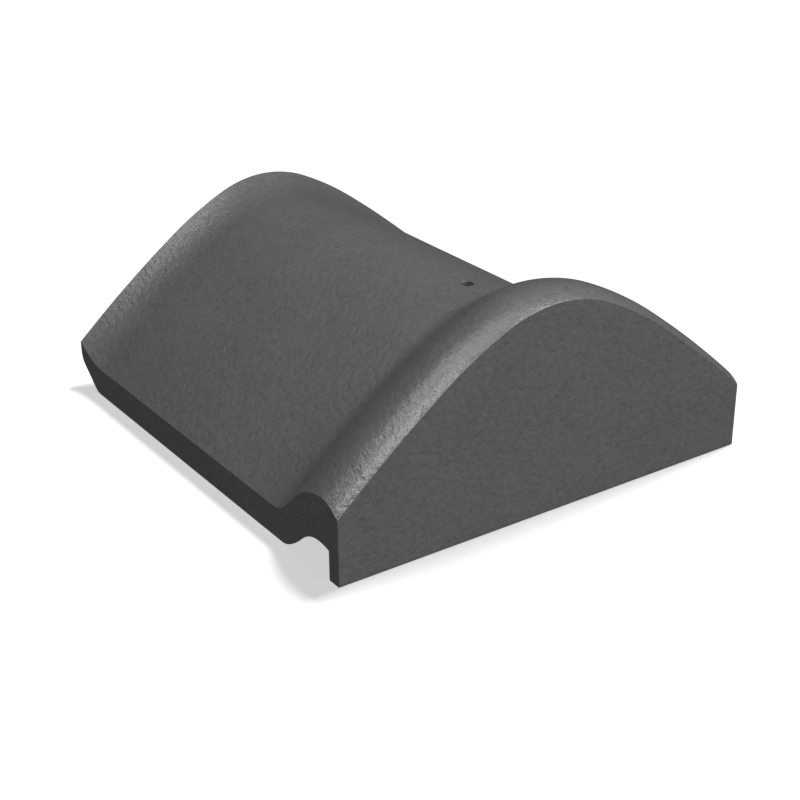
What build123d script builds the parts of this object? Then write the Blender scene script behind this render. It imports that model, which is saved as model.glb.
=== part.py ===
from build123d import *
from math import cos, degrees, radians, sin, tan
import os

# Ridge end tile: one casting of concrete that closes the end of a roof ridge.
# It is an arched shell, open below and at the tail, with a raised collar and a flat plate at the front.
# The frame: X along the ridge towards the plate, Z up, the origin under the middle of the tile.

# Overall sizes, in mm
length = 275
width = 250
wall = 14
plate_thickness = 7.8
edge_radius = 0.8

# The arch's section, seen along the ridge: arcs that meet in line, from the crown down one side.
# Angles are the outer surface's slope where one arc gives way to the next.
body_height = 97.5
crown_radius = 59.5
crown_slope = 24.7
shoulder_radius = 193
shoulder_slope = 36
flank_radius = 685

# The collar, as heights off the body's outer surface and distances back from the plate's face
collar_rise = 17.8
collar_length = 58.6
collar_hollow_share = 0.35
nose_length = 13.1
crease_rise = 13.1

# The recess inside the collar, measured the same way
recess_length = 62.4
recess_crest = 16.7
recess_rise = 0.2
recess_fall = 0.9
recess_hollow_share = 0.68

# The lip at the open tail, which laps over the next tile
lip_rise = 6.8
lip_flare = 27.5
lip_bevel = 22.3
lip_bevel_slope = 29.7
lip_bevel_radius = 25
lip_nose_radius = 6.5
lip_edge_radius = 0.5

# The nail hole through the crown
nail_hole_diameter = 7
nail_hole_setback = 72

# Values that follow from those above
front = length / 2
tail = -length / 2
valley = front - collar_length
plate_back = front - plate_thickness
ceiling = recess_rise - recess_fall
flank_slope = shoulder_slope + degrees(width / 2 / flank_radius)


def radial(slope):
    """The direction square to the arch's surface where it slopes by this angle."""
    return Vector(0, sin(radians(slope)), cos(radians(slope)))


def profile_plane(centre, radius, slope):
    """A plane across the wall: its X runs along the ridge and its Y out of the surface."""
    x_direction = Vector(1, 0, 0)
    return Plane(
        origin=centre + radial(slope) * radius,
        x_dir=x_direction,
        z_dir=x_direction.cross(radial(slope)),
    )


def swell(start, end, hollow_share):
    """An S from start to end: a hollow arc, then a rounding one, level at both ends."""
    start = Vector(*start)
    end = Vector(*end)
    turn = start + (end - start) * hollow_share
    hollow = TangentArc(start, turn, tangent=(1, 0))
    TangentArc(turn, end, tangent=hollow % 1)


# One half of the section: each arc's centre, radius, and slopes at its start and end
crown_centre = Vector(0, 0, body_height - crown_radius)
shoulder_centre = crown_centre + radial(crown_slope) * (crown_radius - shoulder_radius)
flank_centre = shoulder_centre + radial(shoulder_slope) * (shoulder_radius - flank_radius)
half_section = [
    (crown_centre, crown_radius, 0, crown_slope),
    (shoulder_centre, shoulder_radius, crown_slope, shoulder_slope),
    (flank_centre, flank_radius, shoulder_slope, flank_slope),
]

# The wall's profile along the ridge, with height 0 on the body's outer surface
with BuildSketch() as wall_profile:
    with BuildLine():
        TangentArc((tail + lip_flare, 0), (tail, lip_rise), tangent=(-1, 0))
        Line((tail + lip_flare, 0), (valley, 0))
        swell((valley, 0), (front - nose_length, collar_rise), collar_hollow_share)
        TangentArc((front - nose_length, collar_rise), (front, crease_rise), tangent=(1, 0))
        Polyline((front, crease_rise), (front, ceiling), (plate_back, ceiling))
        TangentArc((front - recess_crest, recess_rise), (plate_back, ceiling), tangent=(1, 0))
        swell((front - recess_length, -wall), (front - recess_crest, recess_rise), recess_hollow_share)
        Polyline(
            (front - recess_length, -wall),
            (tail + lip_bevel, -wall),
            (tail, -wall + lip_bevel * tan(radians(lip_bevel_slope))),
            (tail, lip_rise),
        )
    make_face()
    fillet(wall_profile.vertices().group_by(Axis.Y)[0].sort_by(Axis.X)[0], lip_bevel_radius)
    fillet(wall_profile.vertices().group_by(Axis.X)[0].sort_by(Axis.Y)[0], lip_nose_radius)
    fillet(wall_profile.vertices().group_by(Axis.X)[0].sort_by(Axis.Y)[-1], lip_edge_radius)

# What the casting is trimmed to: upright sides and a level foot, with the outer edges rounded at the plate and foot
with BuildPart() as envelope:
    with BuildSketch():
        with Locations((tail - lip_flare, 0)):
            Rectangle(length + lip_flare, width, align=(Align.MIN, Align.CENTER))
    extrude(amount=body_height + collar_rise + wall)
    plate_corners = envelope.faces().sort_by(Axis.X)[-1].edges().filter_by(Axis.Z)
    foot_edges = envelope.faces().sort_by(Axis.Z)[0].edges().sort_by(Axis.X)[1:]
    fillet(plate_corners + foot_edges, edge_radius)

with BuildPart() as ridge_end_tile:
    # The shell: the profile turned about each arc's own centre, so that body, lip and collar stay parallel
    for centre, radius, slope_from, slope_to in half_section:
        with BuildSketch(profile_plane(centre, radius, slope_from)):
            add(wall_profile.sketch)
        revolve(axis=Axis(centre, (-1, 0, 0)), revolution_arc=slope_to - slope_from)
    mirror(about=Plane.XZ)

    # The end plate, let into the collar's wall up to half the crease's height
    with BuildSketch(Plane.YZ.offset(front)):
        with BuildLine():
            for centre, radius, slope_from, slope_to in half_section:
                CenterArc(
                    (centre.Y, centre.Z),
                    radius + crease_rise / 2,
                    90 - slope_to,
                    slope_to - slope_from,
                )
            flank_end = flank_centre + radial(flank_slope) * (flank_radius + crease_rise / 2)
            Polyline(
                (flank_end.Y, flank_end.Z),
                (flank_end.Y, -body_height),
                (0, -body_height),
                (0, body_height + crease_rise / 2),
            )
        make_face()
        mirror(about=Plane.YZ)
    extrude(amount=-plate_thickness)
    add(envelope.part, mode=Mode.INTERSECT)

    # The nail hole, square to the crown
    with Locations((front - nail_hole_setback, 0, body_height)):
        Hole(nail_hole_diameter / 2, depth=2 * wall)

ridge_end_tile.part.label = "ridge_end_tile"
os.makedirs("parts", exist_ok=True)
export_step(ridge_end_tile.part, "parts/ridge_end_tile.step")
print("solids", len(ridge_end_tile.solids()), "volume", round(ridge_end_tile.part.volume))
print("box", ridge_end_tile.part.bounding_box())
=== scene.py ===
# %% [markdown]
# # A ridge end tile of dark grey concrete
# This tile closes the end of a roof's ridge. It is one casting: an arched shell, a raised collar with a
# flat plate across it, a flared lip at the open tail and one nail hole. The measured model is loaded
# first and never moves: what is made here stands for it, in its place and at its size.

# %% Load the frame
import cmath
from math import cos, pi, radians, sin, tan
import bpy
import numpy as np
from mathutils import Matrix, Vector


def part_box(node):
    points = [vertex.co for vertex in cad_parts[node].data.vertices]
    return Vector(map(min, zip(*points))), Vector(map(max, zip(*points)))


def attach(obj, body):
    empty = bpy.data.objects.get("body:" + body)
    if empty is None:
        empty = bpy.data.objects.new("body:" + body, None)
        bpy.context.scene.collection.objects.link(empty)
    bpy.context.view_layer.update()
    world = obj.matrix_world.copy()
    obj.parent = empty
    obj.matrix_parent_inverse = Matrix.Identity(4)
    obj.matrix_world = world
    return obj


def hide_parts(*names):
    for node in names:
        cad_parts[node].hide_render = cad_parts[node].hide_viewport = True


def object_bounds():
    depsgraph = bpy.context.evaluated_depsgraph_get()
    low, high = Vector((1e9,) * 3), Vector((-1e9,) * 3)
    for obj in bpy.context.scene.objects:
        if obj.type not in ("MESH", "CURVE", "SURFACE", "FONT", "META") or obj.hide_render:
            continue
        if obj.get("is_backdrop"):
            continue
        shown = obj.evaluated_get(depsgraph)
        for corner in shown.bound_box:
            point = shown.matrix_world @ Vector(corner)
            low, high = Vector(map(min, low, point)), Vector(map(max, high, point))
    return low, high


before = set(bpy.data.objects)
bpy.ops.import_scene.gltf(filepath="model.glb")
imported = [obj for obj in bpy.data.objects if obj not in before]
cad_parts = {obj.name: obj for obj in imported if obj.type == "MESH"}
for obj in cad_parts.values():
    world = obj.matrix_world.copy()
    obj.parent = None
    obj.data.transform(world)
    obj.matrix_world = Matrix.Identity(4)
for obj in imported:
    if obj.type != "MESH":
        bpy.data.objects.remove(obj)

cad_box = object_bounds()
print("model's box in metres:", [[round(v, 4) for v in corner] for corner in cad_box])

# %% [markdown]
# ## Node trees written as sums
# The tile's shape and its concrete are both node trees, and both are full of arithmetic. Placing a Math
# node for each plus and times hides the formula, so a small class wraps a node's output and gives it
# Python's own operators. Every other kind of node comes from one method, which sets the node's settings
# first and then fills or links its sockets.

# %% A node's output that takes part in sums
class Wire:
    """A node's output. Sums of wires and numbers add Math nodes to the wire's tree."""

    def __init__(self, graph, socket):
        self.graph = graph
        self.socket = socket

    def output(self, name):
        """Another output of the same node."""
        return Wire(self.graph, self.socket.node.outputs[name])

    def math(self, operation, *values):
        return self.graph.add("ShaderNodeMath", {"operation": operation}, dict(enumerate(values)))

    def __add__(self, other):
        return self.math("ADD", self, other)

    def __radd__(self, other):
        return self.math("ADD", other, self)

    def __sub__(self, other):
        return self.math("SUBTRACT", self, other)

    def __rsub__(self, other):
        return self.math("SUBTRACT", other, self)

    def __mul__(self, other):
        return self.math("MULTIPLY", self, other)

    def __rmul__(self, other):
        return self.math("MULTIPLY", other, self)

    def __truediv__(self, other):
        return self.math("DIVIDE", self, other)

    def __rtruediv__(self, other):
        return self.math("DIVIDE", other, self)

    def __abs__(self):
        return self.math("ABSOLUTE", self)

    def at_most(self, limit):
        return self.math("MINIMUM", self, limit)

    def at_least(self, limit):
        return self.math("MAXIMUM", self, limit)

    def sine(self):
        return self.math("SINE", self)

    def cosine(self):
        return self.math("COSINE", self)

    def arcsine(self):
        return self.math("ARCSINE", self)

    def arccosine(self):
        return self.math("ARCCOSINE", self)

    def root(self):
        return self.math("SQRT", self)

    def sign(self):
        return self.math("SIGN", self)


class Graph:
    """A node tree, for shapes or for a finish."""

    def __init__(self, tree):
        self.tree = tree

    def add(self, kind, settings=None, sockets=None, output=0):
        """Adds a node: its settings, then a value or a wire for each socket. Gives one of its outputs."""
        node = self.tree.nodes.new(kind)
        for name, value in (settings or {}).items():
            setattr(node, name, value)
        for key, value in (sockets or {}).items():
            if isinstance(value, Wire):
                self.tree.links.new(value.socket, node.inputs[key])
            else:
                node.inputs[key].default_value = value
        return Wire(self, node.outputs[output]) if node.outputs else node


print("operators ready:", [name for name in vars(Wire) if name.startswith("__")][2:])

# %% [markdown]
# ## The wall's profile
# Cut the tile along its ridge and the wall shows one profile: lip, body, collar, nose, plate and the
# recess under the collar. It is drawn once, as points along straight runs and arcs that meet in line. A
# complex number holds each point, with the place along the ridge as its real part and the rise off the
# body's outer surface as its imaginary part, because an arc is then one short formula. The plate hangs
# down from the profile, so each point also gets a drop: 0 at the arch and 1 at the foot.

# %% Sizes of the tile
mm = 0.001
low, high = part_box("ridge_end_tile")
tail, front = low[0], high[0]
half_width = high[1]
wall = 14 * mm
plate_thickness = 7.8 * mm
plate_back = front - plate_thickness
edge_radius = 0.8 * mm

collar_rise = 17.8 * mm
collar_length = 56.5 * mm
collar_slope = radians(35)
collar_hollow_radius = 17 * mm
nose_length = 13.1 * mm
crease_rise = 13.1 * mm
crease_radius = 0.35 * mm

recess_length = 62.4 * mm
recess_crest = 16.7 * mm
recess_rise = 0.2 * mm
recess_fall = 0.9 * mm
recess_hollow_share = 0.68

lip_rise = 6.8 * mm
lip_flare = 27.5 * mm
lip_bevel = 22.3 * mm
lip_bevel_slope = radians(29.7)
lip_bevel_radius = 25 * mm
lip_nose_radius = 6.5 * mm
lip_edge_radius = 0.5 * mm

body_height = high[2] - collar_rise
print("length:", round(front - tail, 4), "half width:", round(half_width, 4))
print("body height:", round(body_height, 4))


# %% Straight runs and arcs as points
def run(start, end, step):
    """Evenly spaced points from start to end."""
    return np.linspace(start, end, 1 + max(1, round(abs(end - start) / step)))


def bend(start, end, heading, step):
    """Points of the arc that leaves start along heading and arrives at end."""
    chord = end - start
    half_turn = cmath.phase(chord / heading)
    share = run(0, 1, step / abs(chord))
    reached = np.sin(half_turn * share) / sin(half_turn)
    return start + chord * reached * np.exp(1j * half_turn * (share - 1))


def swell(start, end, hollow_share, step):
    """An S from start to end: a hollow arc, then a rounding one, level at both ends."""
    turn = start + (end - start) * hollow_share
    steepest = cmath.rect(1, 2 * cmath.phase(end - start))
    return np.concatenate([bend(start, turn, 1, step), bend(turn, end, steepest, step)[1:]])


def ramp(start, end, slope, hollow_radius, step):
    """Up from start to end: a hollow arc, a straight slope and a rounding arc, level at both ends."""
    def turned(radius):
        return radius * complex(sin(slope), 1 - cos(slope))

    foot = start + turned(hollow_radius)
    top_radius = ((end - foot).real * tan(slope) - (end - foot).imag) / (1 / cos(slope) - 1)
    shoulder = end - turned(top_radius)
    hollow = bend(start, foot, 1, step)
    straight = run(foot, shoulder, step)[1:-1]
    rounding = bend(shoulder, end, cmath.rect(1, slope), step)
    return np.concatenate([hollow, straight, rounding])


def rounded(before, corner, after, radius, step):
    """The arc that rounds the corner between two straight runs."""
    arrive = (corner - before) / abs(corner - before)
    leave = (after - corner) / abs(after - corner)
    cut = radius * tan(abs(cmath.phase(leave / arrive)) / 2)
    return bend(corner - arrive * cut, corner + leave * cut, arrive, step)


print("an arc's points:", np.round(bend(0, 1 + 1j, 1, 0.5), 3))

# %% Draw the profile
straight_step = 3 * mm
gentle_step = 2.6 * mm
slope_step = 1.82 * mm
fine_step = 1.3 * mm
corner_cells = 3
down = -1j * mm

lip_top = complex(tail, lip_rise)
lip_start = complex(tail + lip_flare, 0)
valley = complex(front - collar_length, 0)
crest = complex(front - nose_length, collar_rise)
crease = complex(front, crease_rise)
ceiling_end = complex(plate_back, recess_rise - recess_fall)
ceiling_top = complex(front - recess_crest, recess_rise)
recess_start = complex(front - recess_length, -wall)
bevel_start = complex(tail + lip_bevel, -wall)
bevel_end = complex(tail, -wall + lip_bevel * tan(lip_bevel_slope))

flare = bend(lip_start, lip_top, -1, gentle_step)[::-1]
nose = bend(crest, crease, 1, fine_step)
bevel_bend = rounded(recess_start, bevel_start, bevel_end, lip_bevel_radius, gentle_step)
lip_nose = rounded(bevel_start, bevel_end, lip_top, lip_nose_radius, fine_step)

outside = np.concatenate([
    rounded(lip_top + down, lip_top, flare[1], lip_edge_radius, lip_edge_radius / corner_cells),
    flare[1:],
    run(lip_start, valley, straight_step),
    ramp(valley, crest, collar_slope, collar_hollow_radius, slope_step),
    nose[:-1],
    rounded(nose[-2], crease, crease + down, crease_radius, crease_radius / corner_cells),
])
underside = np.concatenate([
    bend(ceiling_top, ceiling_end, 1, fine_step)[::-1],
    swell(recess_start, ceiling_top, recess_hollow_share, gentle_step)[::-1],
    run(recess_start, bevel_bend[0], straight_step)[1:-1],
    bevel_bend,
    run(bevel_bend[-1], lip_nose[0], gentle_step)[1:-1],
    lip_nose,
])
print("points outside:", len(outside), "points on the underside:", len(underside))

# %% [markdown]
# The profile becomes a closed loop of edges. Down the plate's face and up its back the loop keeps its
# place along the ridge and lets the drop change, and across the foot it does the reverse. The three
# numbers of each point are stored as attributes, so that the node tree can read them after the sweep has
# moved everything.

# %% The profile as a loop of edges
plate_step = 3 * mm
foot_step = 1.5 * mm
foot_corner_cells = 4
plate_top = outside[-1]
drops = run(0, 1, plate_step / high[2])
foot = np.concatenate([
    run(front, front - edge_radius, edge_radius / foot_corner_cells)[1:],
    run(front - edge_radius, plate_back, foot_step)[1:-1],
])
rows = [(point.real, point.imag, 0) for point in outside]
rows += [(front, plate_top.imag, drop) for drop in drops[1:]]
rows += [(ridge, plate_top.imag, 1) for ridge in foot]
rows += [(plate_back, ceiling_end.imag, 1 - drop) for drop in drops[:-1]]
rows += [(point.real, point.imag, 0) for point in underside]

profile = bpy.data.meshes.new("wall_profile")
profile.from_pydata(
    [(ridge, rise - drop * body_height, 0) for ridge, rise, drop in rows],
    [(i, (i + 1) % len(rows)) for i in range(len(rows))],
    [],
)
for column, name in enumerate(["ridge", "rise", "drop"]):
    attribute = profile.attributes.new(name, "FLOAT", "POINT")
    attribute.data.foreach_set("value", [row[column] for row in rows])
tile = bpy.data.objects.new("tile", profile)
bpy.context.scene.collection.objects.link(tile)
print("points in the loop:", len(rows))

# %% [markdown]
# ## The sweep across the arch
# The arch's section is three arcs on each side that meet in line: crown, shoulder and flank. A mould
# keeps the wall, the collar and the lip at the same height off that section all the way across, so the
# tile is one profile carried along one path, and a node tree can say it as a rule: a point with a rise r
# goes round each arc's centre at that arc's radius plus r, and the last arc is as long as it must be for
# the point to reach the tile's upright side. A slow unevenness goes on top, because no casting is
# perfectly true.

# %% Sizes of the arch
arch = {
    "Front": front,
    "Half Width": half_width,
    "Body Height": body_height,
    "Crown Radius": 59.5 * mm,
    "Crown Slope": radians(24.7),
    "Shoulder Radius": 193 * mm,
    "Shoulder Slope": radians(36),
    "Flank Radius": 685 * mm,
    "Edge Radius": edge_radius,
    "Unevenness": 0.12 * mm,
    "Uneven Scale": 28.0,
}
counts = {"Side Stations": 64, "Seed": 4}
print("inputs of the sweep:", list(arch) + list(counts))

# %% [markdown]
# A station across the arch is given as a length round its outer surface, so that cells stay even. The
# last six stations on each side are kept for the edge: two for the narrow foot that the wall stands on,
# and four for the rounding at the foot and at the plate's corners. The foot starts at least two and a
# half edge radii in from the side, also where the profile lies too high to reach the ground.

# %% Lengths round the arch
edge_stations = 6
rounding_stations = 4
foot_start_in_edge_radii = 2.5


def side_lengths(size, rise):
    """Where the foot, the rounding and the side begin, as lengths from the crown round the arch."""
    crown_sine, crown_cosine = size["Crown Slope"].sine(), size["Crown Slope"].cosine()
    shoulder_sine, shoulder_cosine = size["Shoulder Slope"].sine(), size["Shoulder Slope"].cosine()
    crown_turn = size["Crown Radius"] + rise
    shoulder_turn = size["Shoulder Radius"] + rise
    flank_turn = size["Flank Radius"] + rise
    flank_start = crown_turn * crown_sine + shoulder_turn * (shoulder_sine - crown_sine)
    flank_height = size["Body Height"] + rise + crown_turn * (crown_cosine - 1)
    flank_height = flank_height + shoulder_turn * (shoulder_cosine - crown_cosine)

    def slope_at(distance):
        return ((distance - flank_start) / flank_turn + shoulder_sine).arcsine()

    side = size["Half Width"]
    ground = (shoulder_cosine - flank_height / flank_turn).arccosine()
    slopes = [
        ground.at_most(slope_at(side - foot_start_in_edge_radii * size["Edge Radius"])),
        slope_at(side - size["Edge Radius"]),
        slope_at(side),
    ]
    to_flank = size["Crown Radius"] * size["Crown Slope"]
    to_flank = to_flank + size["Shoulder Radius"] * (size["Shoulder Slope"] - size["Crown Slope"])
    return [to_flank + size["Flank Radius"] * (slope - size["Shoulder Slope"]) for slope in slopes]


def walk_round(size, rise, travelled):
    """The distance aside and the height that a point reaches after travelling round the arch."""
    arcs = [
        (size["Crown Radius"], size["Crown Slope"]),
        (size["Shoulder Radius"], size["Shoulder Slope"] - size["Crown Slope"]),
        (size["Flank Radius"], pi / 2),
    ]
    slope, aside, height = 0, 0, size["Body Height"] + rise
    last_sine, last_cosine = 0, 1
    for radius, turn in arcs:
        slope = slope + travelled.at_least(0).at_most(radius * turn) / radius
        travelled = travelled - radius * turn
        aside = aside + (radius + rise) * (slope.sine() - last_sine)
        height = height + (radius + rise) * (slope.cosine() - last_cosine)
        last_sine, last_cosine = slope.sine(), slope.cosine()
    return aside, height


print("stations kept for each edge:", edge_stations)

# %% The rule as a node tree
noise_middle = 0.5
merge_distance = 0.02 * mm
foot_fade = 6 * mm
side_fade = 8 * mm


def sweep_tree():
    """The node tree that carries the profile across the arch."""
    tree = bpy.data.node_groups.new("arch_sweep", "GeometryNodeTree")
    tree.is_modifier = True
    tree.interface.new_socket("Geometry", in_out="INPUT", socket_type="NodeSocketGeometry")
    for kind, inputs in (("NodeSocketFloat", arch), ("NodeSocketInt", counts)):
        for name, value in inputs.items():
            socket = tree.interface.new_socket(name, in_out="INPUT", socket_type=kind)
            socket.default_value = value
    tree.interface.new_socket("Material", in_out="INPUT", socket_type="NodeSocketMaterial")
    tree.interface.new_socket("Geometry", in_out="OUTPUT", socket_type="NodeSocketGeometry")
    graph = Graph(tree)
    given = graph.add("NodeGroupInput")
    size = {name: given.output(name) for name in arch}
    stations = given.output("Side Stations")

    # the profile is carried along a straight path of stations first
    path = graph.add("GeometryNodeCurvePrimitiveLine", None, {"Start": (0, -1, 0), "End": (0, 1, 0)})
    path = graph.add("GeometryNodeResampleCurve", {"mode": "COUNT"},
                     {"Curve": path, "Count": stations * 2 + 1})
    share = graph.add("GeometryNodeSplineParameter", output="Factor") * 2 - 1
    path = graph.add("GeometryNodeStoreNamedAttribute", {"data_type": "FLOAT", "domain": "POINT"},
                     {"Geometry": path, "Name": "across", "Value": share})
    loop = graph.add("GeometryNodeMeshToCurve", None, {"Mesh": given})
    skin = graph.add("GeometryNodeCurveToMesh", None,
                     {"Curve": path, "Profile Curve": loop, "Fill Caps": True})

    def stored(name):
        return graph.add("GeometryNodeInputNamedAttribute", {"data_type": "FLOAT"}, {"Name": name})

    # then each point goes to its place on the arch
    rise = stored("rise")
    across = abs(stored("across"))
    to_foot, to_rounding, to_side = side_lengths(size, rise)
    foot_share = 1 - edge_stations / stations
    rounding_share = 1 - rounding_stations / stations
    foot_part = ((across - foot_share) / (rounding_share - foot_share)).at_least(0).at_most(1)
    rounding_part = ((across - rounding_share) / (1 - rounding_share)).at_least(0)
    travelled = (across / foot_share).at_most(1) * to_foot
    travelled = travelled + foot_part * (to_rounding - to_foot) + rounding_part * (to_side - to_rounding)
    aside, height = walk_round(size, rise, travelled)

    # the plate's rows drop to the foot, and the outer edges curl in
    ridge = stored("ridge")
    curl = size["Edge Radius"]
    past_side = (curl - (size["Half Width"] - aside)).at_least(0)
    past_front = (curl - (size["Front"] - ridge)).at_least(0)
    corner = curl - (curl * curl - past_side * past_side).at_least(0).root()
    lowest = curl - (curl * curl - past_side * past_side - past_front * past_front).at_least(0).root()
    level = (height * (1 - stored("drop"))).at_least(lowest)
    place = graph.add("ShaderNodeCombineXYZ", None, {
        "X": ridge.at_most(size["Front"] - corner),
        "Y": aside * stored("across").sign(),
        "Z": level,
    })
    skin = graph.add("GeometryNodeSetPosition", None, {"Geometry": skin, "Position": place})
    skin = graph.add("GeometryNodeMergeByDistance", None, {"Geometry": skin, "Distance": merge_distance})

    # the unevenness fades out at the foot and at the sides, which stay flat
    noise = graph.add("ShaderNodeTexNoise", {"noise_dimensions": "4D"},
                      {"W": given.output("Seed"), "Scale": size["Uneven Scale"], "Detail": 1.0})
    spot = graph.add("ShaderNodeSeparateXYZ", None, {0: graph.add("GeometryNodeInputPosition")}, "Z")
    inward = size["Half Width"] - abs(spot.output("Y"))
    fade = (spot / foot_fade).at_most(1) * (inward / side_fade).at_most(1)
    push = (noise - noise_middle) * 2 * size["Unevenness"] * fade.at_least(0)
    outward = graph.add("GeometryNodeInputNormal")
    offset = graph.add("ShaderNodeVectorMath", {"operation": "SCALE"}, {0: outward, "Scale": push})
    skin = graph.add("GeometryNodeSetPosition", None, {"Geometry": skin, "Offset": offset})

    skin = graph.add("GeometryNodeSetShadeSmooth", None, {"Geometry": skin})
    skin = graph.add("GeometryNodeRealizeInstances", None, {"Geometry": skin})
    skin = graph.add("GeometryNodeSetMaterial", None,
                     {"Geometry": skin, "Material": given.output("Material")})
    graph.add("NodeGroupOutput", None, {"Geometry": skin})
    return tree


sweep = sweep_tree()
print("nodes in the sweep:", len(sweep.nodes))

# %% [markdown]
# ## Concrete
# The tile is coloured right through, so there is no coat to chip: what makes it read as concrete is its
# skin. Sand stands up out of it as grains of two sizes, with a shallow dent here and there where one has
# gone. The tone wanders a little from place to place, and raised grains are a shade paler than dents. The
# grain is bump, because it is far finer than a mesh can be, and every pattern is laid out in the object's
# own metres, so it has its real size. The skin has a satin shine, as a sealed tile has, that breaks up on
# the grain.

# %% The concrete's finish
grey = 0.105
bump_height = 0.4 * mm
mean_roughness = 0.33
dent_level = 0.6
grain_share = 0.75
grit_share = 0.25
dent_depth = 1.3


def concrete_finish():
    """Dark grey cast concrete with a sanded skin."""
    material = bpy.data.materials.new("concrete")
    material.use_nodes = True
    material.node_tree.nodes.clear()
    graph = Graph(material.node_tree)
    place = graph.add("ShaderNodeTexCoord", output="Object")

    def noise(scale, detail, roughness):
        return graph.add("ShaderNodeTexNoise", None,
                         {"Vector": place, "Scale": scale, "Detail": detail, "Roughness": roughness})

    def swing(pattern, amount):
        """The pattern as a change about 0, by up to half the amount each way."""
        return (pattern - noise_middle) * amount

    grains = noise(scale=340.0, detail=2.0, roughness=0.5)
    grit = noise(scale=1500.0, detail=2.0, roughness=0.6)
    dents = (noise(scale=330.0, detail=1.0, roughness=0.5) - dent_level).at_least(0)
    patches = noise(scale=22.0, detail=3.0, roughness=0.55)
    freckles = noise(scale=260.0, detail=2.0, roughness=0.6)
    relief = grains * grain_share + grit * grit_share - dents * dent_depth

    tone = grey * (1 + swing(patches, 0.25) + swing(freckles, 0.2) + swing(relief, 0.5))
    warmth = 1 + swing(patches, 0.06)
    colour = graph.add("ShaderNodeCombineColor", None,
                       {"Red": tone * warmth, "Green": tone, "Blue": tone / warmth})
    bump = graph.add("ShaderNodeBump", None, {"Strength": 1.0, "Distance": bump_height, "Height": relief})
    surface = graph.add("ShaderNodeBsdfPrincipled", None, {
        "Base Color": colour,
        "Roughness": mean_roughness + swing(freckles, 0.1),
        "Specular IOR Level": 0.65,
        "Normal": bump,
    })
    graph.add("ShaderNodeOutputMaterial", None, {"Surface": surface})
    return material


concrete = concrete_finish()
print("nodes in the concrete:", len(concrete.node_tree.nodes))

# %% [markdown]
# ## Sweep and nail hole
# The sweep's modifier gets its sizes by each socket's own identifier, and its result is copied into a
# plain mesh. Its edges are rounded already, so only the nail hole is left to make: a boolean cuts it with
# a bar whose mouth flares, which rounds the hole's rim too. Edges that turn by more than 38 degrees stay
# sharp, and weighted normals keep the flat faces flat right up to their rounded edges.

# %% Turn modifiers into plain mesh
def settle(piece):
    """Makes what the modifiers show the piece's own mesh, and removes them."""
    shown = piece.evaluated_get(bpy.context.evaluated_depsgraph_get())
    mesh = bpy.data.meshes.new_from_object(shown)
    piece.modifiers.clear()
    piece.data = mesh


def run_sweep(piece, values):
    """Runs the sweep on the piece's loop of edges."""
    modifier = piece.modifiers.new("sweep", "NODES")
    modifier.node_group = sweep
    for item in sweep.interface.items_tree:
        if item.in_out == "INPUT" and item.name in values:
            modifier[item.identifier] = values[item.name]
    settle(piece)


run_sweep(tile, {**arch, **counts, "Material": concrete})
print("faces of the sweep:", len(tile.data.polygons))

# %% Cut the nail hole
nail_hole_radius = 3.5 * mm
nail_hole_setback = 72 * mm
nail_hole_place = front - nail_hole_setback
rim_radius = 0.3 * mm
rim_depth = 0.05 * mm
rim_cells = 5
hole_sides = 40
sharp_angle = radians(38)


def hole_cutter():
    """A round bar as wide as the nail hole, whose flared mouth lies just under the crown."""
    mouth = body_height - rim_depth
    quarter = [radians(90) * i / rim_cells for i in range(rim_cells + 1)]
    outline = [(nail_hole_radius, mouth - 2 * wall)]
    outline += [
        (nail_hole_radius + rim_radius * (1 - cos(turn)), mouth - rim_radius * (1 - sin(turn)))
        for turn in quarter
    ]
    outline += [(outline[-1][0], mouth + wall)]
    sides = hole_sides
    turns = [2 * pi * (i + 0.5) / sides for i in range(sides)]
    points = [
        (nail_hole_place + radius * cos(turn), radius * sin(turn), height)
        for radius, height in outline
        for turn in turns
    ]
    faces = [
        (ring + i, ring + (i + 1) % sides, ring + sides + (i + 1) % sides, ring + sides + i)
        for ring in range(0, sides * (len(outline) - 1), sides)
        for i in range(sides)
    ]
    faces += [tuple(range(sides))[::-1], tuple(range(len(points) - sides, len(points)))]
    mesh = bpy.data.meshes.new("nail_hole_cutter")
    mesh.from_pydata(points, [], faces)
    mesh.shade_smooth()
    mesh.materials.append(concrete)
    return bpy.data.objects.new("nail_hole_cutter", mesh)


cutter = hole_cutter()
bpy.context.scene.collection.objects.link(cutter)
hole = tile.modifiers.new("nail_hole", "BOOLEAN")
hole.operation = "DIFFERENCE"
hole.solver = "EXACT"
hole.object = cutter
settle(tile)
tile.data.set_sharp_from_angle(angle=sharp_angle)
normals = tile.modifiers.new("normals", "WEIGHTED_NORMAL")
normals.keep_sharp = True
settle(tile)
bpy.data.objects.remove(cutter)
tile.name = "ridge_end_tile_cast"
tile.data.calc_loop_triangles()
print("triangles of the finished tile:", len(tile.data.loop_triangles))

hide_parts("ridge_end_tile")
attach(tile, "root")

# %% [markdown]
# ## Camera
# The camera's place, direction and lens were solved from the tile's own parallel edges in the photograph.
# The picture is 800 pixels wide and the focal length came out in pixels, so the lens in millimetres
# follows from the sensor's width.

# %% Set the camera
picture_width = 800
focal_pixels = 1575.89
camera_azimuth = radians(55.4946)
camera_elevation = radians(25.3821)
camera_roll = radians(-0.3405)
camera_place = Vector((front + 0.51849, -0.44711, 0.38395))

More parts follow.
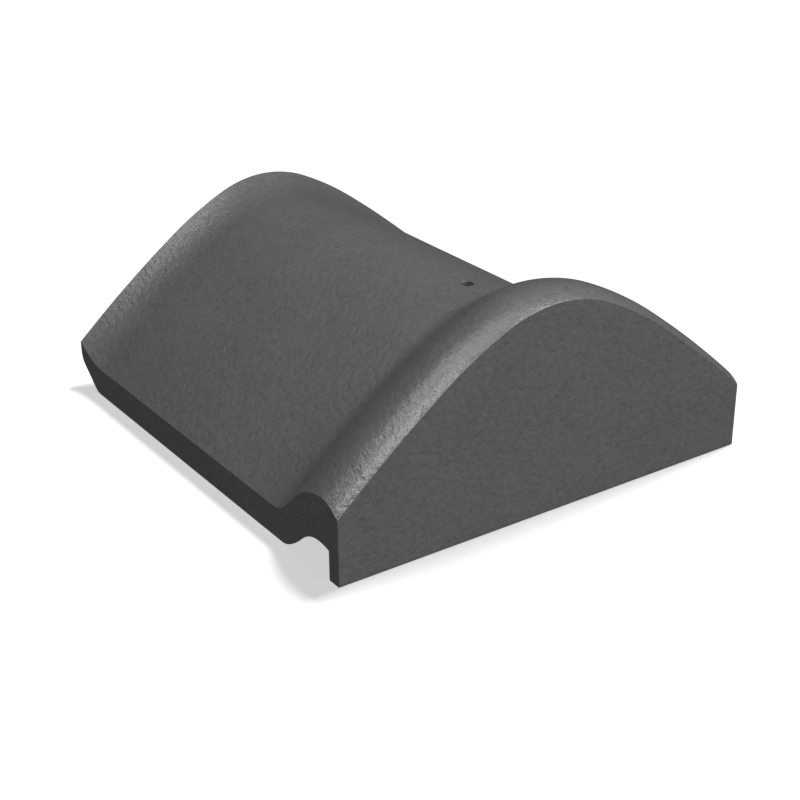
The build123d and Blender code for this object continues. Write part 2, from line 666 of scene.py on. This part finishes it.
backward = Vector((
    sin(camera_azimuth) * cos(camera_elevation),
    -cos(camera_azimuth) * cos(camera_elevation),
    sin(camera_elevation),
))
camera_data = bpy.data.cameras.new("camera")
camera_data.sensor_width = 36
camera_data.lens = focal_pixels / picture_width * camera_data.sensor_width
camera = bpy.data.objects.new("camera", camera_data)
bpy.context.scene.collection.objects.link(camera)
turn = backward.to_track_quat("Z", "Y").to_matrix().to_4x4() @ Matrix.Rotation(camera_roll, 4, "Z")
camera.matrix_world = Matrix.Translation(camera_place) @ turn
bpy.context.scene.camera = camera
print("lens in mm:", round(camera_data.lens, 2))

# %% [markdown]
# ## Floor and world
# The photograph is a studio picture on white. The tile's shadow on the floor is one flat pale grey, and
# its own shaded side is nearly black, so hardly any light comes up from below although the floor is
# white. One material can be both: a Mix Shader asks Light Path whether the camera is looking. The camera
# gets pale matt paint over a glow as bright as the shadow, and all other rays get a dim glow alone. The
# world is made the same way. Mirrored rays get the dim light too, because the tile has no polished
# surface that shows the room.

# %% Floor and world
def floor_finish(shadow_tone, paint_tone, bounce):
    """A floor that the camera sees pale, down to the shadow's tone, and that lights the tile dimly."""
    material = bpy.data.materials.new("floor")
    material.use_nodes = True
    material.node_tree.nodes.clear()
    graph = Graph(material.node_tree)
    dim = graph.add("ShaderNodeEmission", None, {"Strength": bounce})
    paint = graph.add("ShaderNodeBsdfDiffuse", None, {"Color": (paint_tone, paint_tone, paint_tone, 1)})
    glow = graph.add("ShaderNodeEmission", None, {"Strength": shadow_tone})
    seen = graph.add("ShaderNodeAddShader", None, {0: paint, 1: glow})
    by_camera = graph.add("ShaderNodeLightPath", output="Is Camera Ray")
    floor_shader = graph.add("ShaderNodeMixShader", None, {0: by_camera, 1: dim, 2: seen})
    graph.add("ShaderNodeOutputMaterial", None, {"Surface": floor_shader})
    return material


reach = 6.0
corners = [(-reach, -reach, 0), (reach, -reach, 0), (reach, reach, 0), (-reach, reach, 0)]
floor_mesh = bpy.data.meshes.new("floor")
floor_mesh.from_pydata(corners, [], [(0, 1, 2, 3)])
floor_mesh.materials.append(floor_finish(shadow_tone=0.59, paint_tone=0.8, bounce=0.07))
floor = bpy.data.objects.new("floor", floor_mesh)
bpy.context.scene.collection.objects.link(floor)
floor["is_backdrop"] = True

world = bpy.data.worlds.new("studio")
bpy.context.scene.world = world
world.use_nodes = True
world.node_tree.nodes.clear()
graph = Graph(world.node_tree)
by_camera = graph.add("ShaderNodeLightPath", output="Is Camera Ray")
ambient = 0.02
strength = ambient + by_camera * (1 - ambient)
backdrop = graph.add("ShaderNodeBackground", None, {"Color": (1, 1, 1, 1), "Strength": strength})
graph.add("ShaderNodeOutputWorld", None, {"Surface": backdrop})
print("floor's reach in metres:", reach, "light from the world:", ambient)

# %% [markdown]
# ## Lamps
# Five soft lamps light the tile. The key lamp and a lower, weaker one stand in front of the plate, one
# hangs overhead, and two from the left give the satin shine on the collar's nose and on the lip. A soft
# sun, high on the right, draws the narrow shadow along the tile's left side. Light linking gives the
# floor the sun alone and the tile the five lamps, so the floor stays evenly white with one shadow, as in
# the photograph.

# %% Lamps
lamp_distance = 2.0


def lit_by(light, thing):
    """Keeps a light to one thing."""
    receivers = bpy.data.collections.new(light.name + "_receivers")
    receivers.objects.link(thing)
    light.light_linking.receiver_collection = receivers


def light_towards(name, kind, azimuth, elevation):
    """A light that faces the tile. Azimuth 0 is straight in front of the plate, and 90 on its right."""
    direction = Vector((
        cos(radians(azimuth)) * cos(radians(elevation)),
        sin(radians(azimuth)) * cos(radians(elevation)),
        sin(radians(elevation)),
    ))
    light = bpy.data.objects.new(name, bpy.data.lights.new(name, kind))
    bpy.context.scene.collection.objects.link(light)
    turn = direction.to_track_quat("Z", "Y").to_matrix().to_4x4()
    middle = Vector((0, 0, body_height / 2))
    light.matrix_world = Matrix.Translation(middle + direction * lamp_distance) @ turn
    return light


def lamp(name, azimuth, elevation, size, watts):
    """A square soft lamp for the tile."""
    light = light_towards(name, "AREA", azimuth, elevation)
    light.data.shape = "SQUARE"
    light.data.size = size
    light.data.energy = watts
    lit_by(light, tile)


lamp("key_lamp", azimuth=34, elevation=44, size=0.9, watts=36)
lamp("plate_lamp", azimuth=-6, elevation=18, size=0.9, watts=9)
lamp("overhead_lamp", azimuth=-20, elevation=82, size=1.2, watts=9.8)
lamp("nose_lamp", azimuth=-56, elevation=52, size=0.5, watts=13.4)
lamp("lip_lamp", azimuth=-118, elevation=62, size=0.6, watts=7)
sun = light_towards("floor_sun", "SUN", azimuth=102, elevation=64)
sun.data.angle = radians(15)
sun.data.energy = 2.4
lit_by(sun, floor)
bpy.context.scene.view_settings.view_transform = "Standard"

# %% Measure and finish
look_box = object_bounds()
grown = [[round((b - a) / mm, 2) for a, b in zip(*pair)] for pair in zip(cad_box, look_box)]
print("grown by, in mm:", grown)
